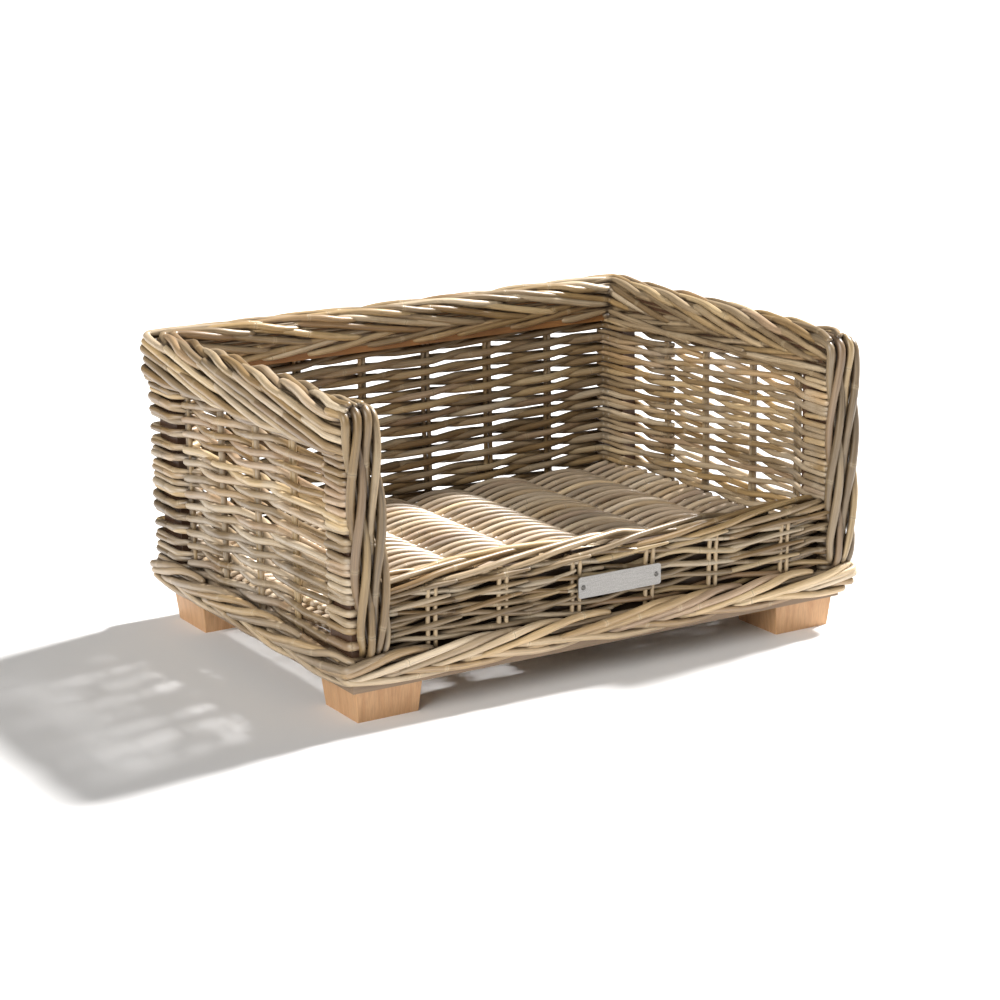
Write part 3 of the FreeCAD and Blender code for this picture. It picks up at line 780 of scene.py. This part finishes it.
def top_braids():
    """The thick braid along the top of the left wall, the back and the right wall."""
    low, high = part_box("top_braid_right")
    back_low, back_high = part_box("top_braid_back")
    rail_x, rail_y = (low.x + high.x) / 2, (back_low.y + back_high.y) / 2
    front = low.y + TOP_ROD
    half = (high.x - low.x) / 2 - TOP_ROD
    top = BRAID_HIGH - TOP_ROD

    def corners(n):
        left = [(-rail_x - 0.75 * n + 6 * MM, front - 4 * MM), (-rail_x - n, front + 16 * MM),
                (-rail_x - n, rail_y + n)]
        return left + [(-x, y) for x, y in reversed(left)]

    section = [(half, BRAID_LOW), (half, top), (-half, top), (-half, BRAID_LOW + 6.5 * MM)]
    rail = Rail(corners, section, rounding=11 * MM)
    nodes = ["top_braid_left", "top_braid_back", "top_braid_right"]
    chevron = rail.perimeter - 15 * MM        # where the slant turns, near the inner lower edge
    band = chevron / TOP_BANDS
    for row in range(TOP_BANDS):
        bundle = Bundle(f"top_braid_band_{row + 1}", RATTAN["braid"], "rattan_braid", nodes)
        lay_leaves(bundle, rail, row * band - 4 * MM, (row + 1) * band + 3 * MM, TOP_LEAN, TOP_ROD,
                   dive=0.8, lift=0.6)
    bundle = Bundle("top_braid_edge", RATTAN["braid"], "rattan_braid", nodes)
    lay_leaves(bundle, rail, chevron - 5 * MM, rail.perimeter, -0.11, TOP_ROD * 0.95, spread=0.85,
               lift=0.1, tilt=-0.8, share=0.1, dive=2.3)
    for side in (-1, 1):              # left and right
        lay_inner_rods(bundle, side * (POST_IN - 3.4 * MM), low.y + 6 * MM, back_low.y - low.y)
    bundle = Bundle("top_braid_core", RATTAN["braid"], "rattan_braid", nodes)
    deep, shallow = 4.5 * MM, 0.5 * MM
    lay_core(bundle, rail, 2.6 * MM,
             [(0, deep), (chevron - 34 * MM, deep), (chevron - 22 * MM, shallow)])


def lay_inner_rods(bundle, x, front, length):
    for near, far, rise, end_rise in INNER_RODS:
        line = curve([(x, front + near * length, BRAID_LOW + rise * MM),
                      (x, front + far * length, BRAID_LOW + end_rise * MM)], 5 * MM)
        line[:, 2] += wander(len(line), 0.9 * MM, STEP)
        bundle.add(line, INNER_ROD, taper=(0.8, 0.8))


BOTTOM_ROD = 4.4 * MM


def bottom_braids():
    """The braid round the foot of the basket: a band that rises to the right over a flatter one."""
    low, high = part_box("bottom_braid_front")
    half_x, half_y = HALF_X - BOTTOM_ROD, HALF_Y - BOTTOM_ROD

    def corners(n):
        x, y = half_x + n, half_y + n
        return [(-x, y), (-x, -y), (x, -y), (x, y), (-x, y)]

    bottom, top = low.z + BOTTOM_ROD - 2 * MM, high.z - BOTTOM_ROD
    section = [(-9 * MM, bottom), (0, bottom), (0, top), (-9 * MM, top)]
    rail = Rail(corners, section, closed=True, rounding=7 * MM)
    middle = rail.perimeter * 0.44
    nodes = [f"bottom_braid_{side}" for side in ("front", "back", "left", "right")]
    bundle = Bundle("bottom_braid_lower", RATTAN["base"], "rattan_braid", nodes)
    lay_core(bundle, rail, 3.2 * MM, [(0, 5 * MM)])
    lay_leaves(bundle, rail, 2 * MM, middle + 4 * MM, -0.09, BOTTOM_ROD, spread=0.95, lift=0.35)
    bundle = Bundle("bottom_braid_upper", RATTAN["base"], "rattan_braid", nodes)
    lay_leaves(bundle, rail, middle - 5 * MM, rail.perimeter - 4 * MM, 0.13, BOTTOM_ROD, spread=0.8,
               lift=0.9, dive=0.5, vary=(0.85, 1.35))


# ---- front plaits ----------------------------------------------------------------------

PLAIT_ROD = 4.6 * MM
PLAIT_RODS = 3                # in each of the two ropes
PLAIT_LEAD = 0.218            # length of one full turn of a rope
PLAIT_SWING = (7.2 * MM, 4.7 * MM)            # of a rod about its rope's middle, along X and along Y
ROPE_START = {-1: 0.1, 1: 0.45}               # where the left and right rope's turn starts, in half turns
# on the left and right wall: how far the plait's top stands in +X from the CAD box's middle, how
# far its foot shifts on from there, and half the distance between its ropes
PLAITS = (("left", 6.5 * MM, 10 * MM, 9.0 * MM), ("right", 1 * MM, 0.5 * MM, 9.4 * MM))


def front_plaits():
    """Two slow ropes side by side down the front edge of each side wall."""
    for side, inset, foot_shift, gap in PLAITS:
        name = f"front_plait_{side}"
        low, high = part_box(name)
        bundle = Bundle(name + "_rods", RATTAN["plait"], "rattan_braid", [name])
        middle = (low.x + high.x) / 2
        face = low.y + PLAIT_ROD - 3 * MM
        z = np.arange(high.z - 18 * MM, low.z - 18 * MM, -STEP)
        fallen = (high.z - z) / (high.z - low.z)
        narrow = 1 - 0.45 * np.clip((low.z + 28 * MM - z) / (42 * MM), 0, 1)
        tucked = np.clip(low.z + 8 * MM - z, 0, None) * 0.6
        for rope in (-1, 1):
            spread = rope * gap * (1 + 0.1 * np.sin(math.pi * fallen))
            for number in range(PLAIT_RODS):
                turn = (number * 2 / PLAIT_RODS + ROPE_START[rope]) * math.pi
                turn = turn + (high.z - z) / PLAIT_LEAD * 2 * math.pi
                x = middle + inset + foot_shift * fallen
                x += (spread + PLAIT_SWING[0] * np.cos(turn)) * narrow
                y = face + PLAIT_SWING[1] * (1 - np.sin(turn)) + tucked
                down = np.stack([x, y, z], axis=1)
                lift = high.z - PLAIT_ROD + 1 * MM - 4 * MM * (1 - math.sin(turn[0]))
                line = np.concatenate([plait_top(x[0], y[0], lift, middle - x[0]), down])
                bundle.add(curve(line, 14 * MM), PLAIT_ROD * rng.uniform(0.95, 1.06), taper=(1.0, 0.8))
        # a dark rod that fills the middle: painted shade in the gap between the ropes
        filler = [(middle + inset, face + 9 * MM, high.z - 16 * MM),
                  (middle + inset + foot_shift, face + 9 * MM, low.z - 6 * MM)]
        bundle.add(curve(filler, 5 * MM), PLAIT_ROD, (0.1, 0.3, 0.2))


def plait_top(x, y, lift, off):
    """A plait rod's way from inside the top braid, forward over it and down to its rope."""
    return [(x + 0.7 * off, y + 66 * MM, lift - 11 * MM),
            (x + 0.45 * off, y + 42 * MM, lift - 1 * MM),
            (x, y + 18 * MM, lift), (x, y + 3 * MM, lift - 3 * MM)]


# ---- low front wall --------------------------------------------------------------------

FRONT_ROD = 3.4 * MM
FRONT_ROWS = 5
FRONT_LOW = 77 * MM
FRONT_TWIST = 0.36            # how far the rods of a pair part between ribs, as a share of the pitch
FRONT_SWING = 4.8 * MM        # of a rod in front of the wall's middle and behind it
FRONT_VARY = (0.85, 1.1)      # of a rod's thickness
TIE_ROD = 2.5 * MM
TIE_TONE = (0.6, 0.6, 0.2)
TIE_GAP = 4.4 * MM            # from the middle of a pair of ties to each of them
TIES_X = (-0.2175, -0.1334, -0.0436, 0.0492, 0.1320, 0.2284)      # uneven, as in the photograph


def front_wall():
    low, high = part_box("weave_front")
    y = low.y + 7 * MM
    end = WALL_X - 10 * MM
    heights = np.linspace(FRONT_LOW, high.z - 7 * MM, FRONT_ROWS)
    bundle = Bundle("front_wall_rods", RATTAN["dark"], "rattan_wall", ["weave_front"])
    for z in heights:
        for parity in (0, 1):
            lay_front_row(bundle, y, z, end, heights[1] - heights[0], parity)
    for z in heights[1:]:
        lay_front_tips(bundle, y, z, end, heights[1] - heights[0])
    bundle = Bundle("front_tie_rods", RATTAN["stake"], "rattan_stake", ["front_ties"])
    for x in TIES_X:
        for shift in (-TIE_GAP, TIE_GAP):
            tie_front(bundle, x + shift, y, heights[-1])


def lay_front_row(bundle, y, z, end, pitch, parity):
    """A rod that passes in front of one rib's place and behind the next, in two lengths."""
    line, last = [], None
    for index, x in enumerate([-end] + RIB_X + [end]):
        sign = -1 if (index + parity) % 2 == 0 else 1
        if last is not None:
            line.append(((x + last) / 2, y, z + sign * -FRONT_TWIST * pitch))
        line.append((x, y + sign * FRONT_SWING, z))
        last = x
    path = curve(line, 16 * MM)
    path[:, 2] += wander(len(path), 1.8 * MM, STEP, 0.08)
    cut = int(rng.uniform(0.25, 0.75) * len(path))
    before, after = path[:cut + 8].copy(), path[cut:]
    before[-20:, 1] -= np.linspace(0, 3 * MM, 20)         # its end comes out over the next length
    bundle.add(before, FRONT_ROD * rng.uniform(*FRONT_VARY), taper=(1.0, 0.8))
    bundle.add(after, FRONT_ROD * rng.uniform(*FRONT_VARY), taper=(0.8, 1.0))


def lay_front_tips(bundle, y, z, end, pitch):
    """Pointed rods between the ties that rise over a row, with the plate's place left free."""
    plate_low, plate_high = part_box("name_plate")
    beside_plate = z - pitch / 2 < plate_high.z
    front = y - FRONT_SWING
    for here, there in zip((-end,) + TIES_X, TIES_X + (end - 30 * MM,)):
        tip = there + rng.uniform(14, 34) * MM
        if beside_plate and plate_low.x - 60 * MM < here < plate_high.x and tip > plate_low.x:
            continue
        if beside_plate and here < plate_low.x < tip:
            tip = plate_low.x - 2 * MM
        line = [(here + 4 * MM, y + 3 * MM, z - 0.35 * pitch),
                ((here + there) / 2, y - 4 * MM, z - 0.05 * pitch),
                (there - 6 * MM, front - 1 * MM, z + 0.25 * pitch),
                (tip, front - 3 * MM, z + 0.4 * pitch)]
        path = curve(line, 14 * MM)
        path[:, 2] += wander(len(path), 1.0 * MM, STEP, 0.08)
        bundle.add(path, FRONT_ROD * rng.uniform(0.8, 1.0), taper=(0.8, 0.6))


def tie_front(bundle, x, y, row_z):
    """A thin rod up the front of the low wall and back over its top row."""
    top = row_z + FRONT_ROD + TIE_ROD
    out = y - FRONT_SWING - FRONT_ROD
    line = [(x, y - 3 * MM, 60 * MM), (x, y - 4 * MM, row_z - 12 * MM),
            (x, out + 2.5 * MM, row_z - 2 * MM), (x, out + 3 * MM, top - 1 * MM),
            (x, y + 1 * MM, top + 1 * MM), (x, y + 8 * MM, top - 1 * MM)]
    bundle.add(curve(line, 6 * MM), TIE_ROD, TIE_TONE)


BORDER_ROD = 3.6 * MM


def front_border():
    """Long rods that rise from the front of the low wall over its top to the inside."""
    low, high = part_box("front_border")
    front, back = -low.y - BORDER_ROD, -high.y + BORDER_ROD        # outward is towards -Y
    top = high.z - BORDER_ROD

    def corners(n):
        return [(-WALL_X + 8 * MM, -n), (WALL_X - 8 * MM, -n)]

    section = [(front, low.z - 3 * MM), (front, top - 3 * MM), (back, top), (back, low.z)]
    rail = Rail(corners, section, rounding=6 * MM)
    bundle = Bundle("front_border_rods", RATTAN["braid"], "rattan_braid", ["front_border"])
    lay_leaves(bundle, rail, 0.0, rail.perimeter, 0.13, BORDER_ROD, spread=1.3, lift=0.8,
               dive=0.2)
    lay_loose_rods(bundle, high.y, high.z)


def lay_loose_rods(bundle, back, z):
    """A long pale rod inside the border's left half, and a cut end at its left."""
    left, y = -WALL_X, back - BORDER_ROD * 0.6
    line = [(left + 70 * MM, y - 9 * MM, z - 4 * MM), (left + 112 * MM, y - 3 * MM, z + 1 * MM),
            (left + 182 * MM, y - 1 * MM, z + 2 * MM), (left + 242 * MM, y - 2 * MM, z),
            (left + 282 * MM, y - 6 * MM, z - 6 * MM)]
    bundle.add(curve(line, 20 * MM), BORDER_ROD, (0.8, 0.95, 0.1))
    stub = [(left + 40 * MM, back - 11 * MM, z - 11 * MM),
            (left + 64 * MM, back - 13 * MM, z - 8.5 * MM)]
    bundle.add(curve(stub, 2 * MM), 4.2 * MM, (0.15, 0.8, 0.9))


weave_walls()
stakes()
weave_floor()
top_braids()
bottom_braids()
front_plaits()
front_wall()
front_border()

crowding = Crowding(BUNDLES)
for each in BUNDLES:
    each.build(crowding)


# ---- wood and metal --------------------------------------------------------------------

def wood(name, pale, dark, axis=2):
    """Plain wood with its grain along one axis: bands, and fine pores."""
    g = Graph(name)
    place = g.node("ShaderNodeTexCoord").outputs["Object"]
    scale = [90.0] * 3
    scale[axis] = 6.0
    bands = g.noise(g.stretched(place, tuple(scale)), 1.0, 5.0, 0.6)
    scale = [900.0] * 3
    scale[axis] = 30.0
    pores = g.noise(g.stretched(place, tuple(scale)), 1.0, 2.0)
    colour = g.ramp(bands, [(0.25, dark), (0.55, pale), (0.8, dark)])
    colour = g.mix(0.3, colour, g.ramp(pores, [(0.35, grey(0.6)), (0.6, grey(1.05))]), "MULTIPLY")
    g.set(g.shader.inputs["Base Color"], colour)
    g.set(g.shader.inputs["Roughness"], g.math("ADD", 0.42, g.math("MULTIPLY", pores, 0.25)))
    g.bump(pores, 0.25, 0.0004)
    return g.material


def metal(name, dark, pale, scale):
    """Dull metal with brush lines, fine along the axes where scale is large."""
    g = Graph(name)
    place = g.node("ShaderNodeTexCoord").outputs["Object"]
    lines = g.noise(g.stretched(place, scale), 1.0, 2.0)
    cloud = g.noise(place, 900.0, 3.0)
    level = g.math("ADD", g.math("MULTIPLY", lines, 0.5), g.math("MULTIPLY", cloud, 0.5))
    g.set(g.shader.inputs["Base Color"], g.ramp(level, [(0.3, dark), (0.7, pale)]))
    g.shader.inputs["Metallic"].default_value = 0.75
    g.set(g.shader.inputs["Roughness"], g.math("ADD", 0.34, g.math("MULTIPLY", lines, 0.2)))
    g.bump(level, 0.2, 0.0001)
    return g.material


def finish_cad_nodes():
    """A material for every CAD node that is still shown, by the start of its name."""
    foot = wood("foot_beech", srgb(202, 160, 118), srgb(180, 134, 92))
    # The posts and rails are one board. The posts' copy is darker, partly their own colour and partly
    # painted shade, so that the gaps between the rods read dark. The back rail's copy is brighter and
    # more orange: a painted glow from below.
    post = wood("post_board", srgb(84, 58, 38), srgb(60, 40, 26))
    rail = wood("rail_board", srgb(146, 100, 52), srgb(118, 80, 42), axis=0)
    rib = wood("rib_wood", srgb(138, 118, 90), srgb(110, 92, 68), axis=1)
    board = wood("front_board_wood", srgb(78, 60, 42), srgb(54, 40, 28), axis=0)
    edge = wood("base_board", srgb(146, 124, 100), srgb(120, 100, 80), axis=0)
    plate = metal("brushed_plate", srgb(122, 120, 117), srgb(170, 168, 165), (60.0, 300.0, 4000.0))
    rivet = metal("rivet_steel", srgb(74, 72, 70), srgb(112, 110, 106), (900.0, 900.0, 900.0))
    kinds = (("foot_screws", rivet), ("frame_screws", rivet), ("foot_", foot), ("base_", edge),
             ("name_plate", plate), ("plate_rivets", rivet), ("post_", post),
             ("top_rail_back", rail), ("top_rail_", post), ("floor_rib_", rib), ("", board))
    for name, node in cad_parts.items():
        if node.hide_render:
            continue
        material = next(material for start, material in kinds if name.startswith(start))
        node.data.materials.clear()
        node.data.materials.append(material)


finish_cad_nodes()


# ---- floor, light ----------------------------------------------------------------------

def add_stage():
    """A wide pale floor."""
    half = 12.0
    mesh = bpy.data.meshes.new("stage_floor")
    mesh.from_pydata([(-half, -half, 0), (half, -half, 0), (half, half, 0), (-half, half, 0)], [],
                     [(0, 1, 2, 3)])
    floor = bpy.data.objects.new("stage_floor", mesh)
    bpy.context.scene.collection.objects.link(floor)
    g = Graph("pale_floor")
    g.shader.inputs["Base Color"].default_value = grey(0.8)
    g.shader.inputs["Roughness"].default_value = 0.9
    mesh.materials.append(g.material)


def sun(name, towards, strength, angle, colour):
    """A soft distant light.  towards points from the basket to it."""
    data = bpy.data.lights.new(name, "SUN")
    data.energy, data.angle, data.color = strength, angle, colour
    light = bpy.data.objects.new(name, data)
    light.rotation_euler = Vector(towards).to_track_quat("Z", "Y").to_euler()
    bpy.context.scene.collection.objects.link(light)


def add_light():
    """Two suns, and a grey studio that the camera sees as white."""
    world = bpy.data.worlds.new("studio")
    world.use_nodes = True
    nodes, links = world.node_tree.nodes, world.node_tree.links
    grey_room = nodes["Background"]
    grey_room.inputs["Strength"].default_value = 0.16
    grey_room.inputs["Color"].default_value = grey(1.0)
    white_room = nodes.new("ShaderNodeBackground")
    white_room.inputs["Color"].default_value = grey(1.0)
    seen = nodes.new("ShaderNodeLightPath")
    mix = nodes.new("ShaderNodeMixShader")
    links.new(seen.outputs["Is Camera Ray"], mix.inputs[0])
    links.new(grey_room.outputs[0], mix.inputs[1])
    links.new(white_room.outputs[0], mix.inputs[2])
    links.new(mix.outputs[0], nodes["World Output"].inputs["Surface"])
    bpy.context.scene.world = world
    sun("key", (0.70, 0.12, 0.70), 9.1, 0.14, (1.0, 0.98, 0.97))
    sun("left_fill", (-2.2, -1.1, 1.45), 2.5, 0.6, (1.0, 0.98, 0.95))
    bpy.context.scene.view_settings.view_transform = "Standard"


add_stage()
add_light()
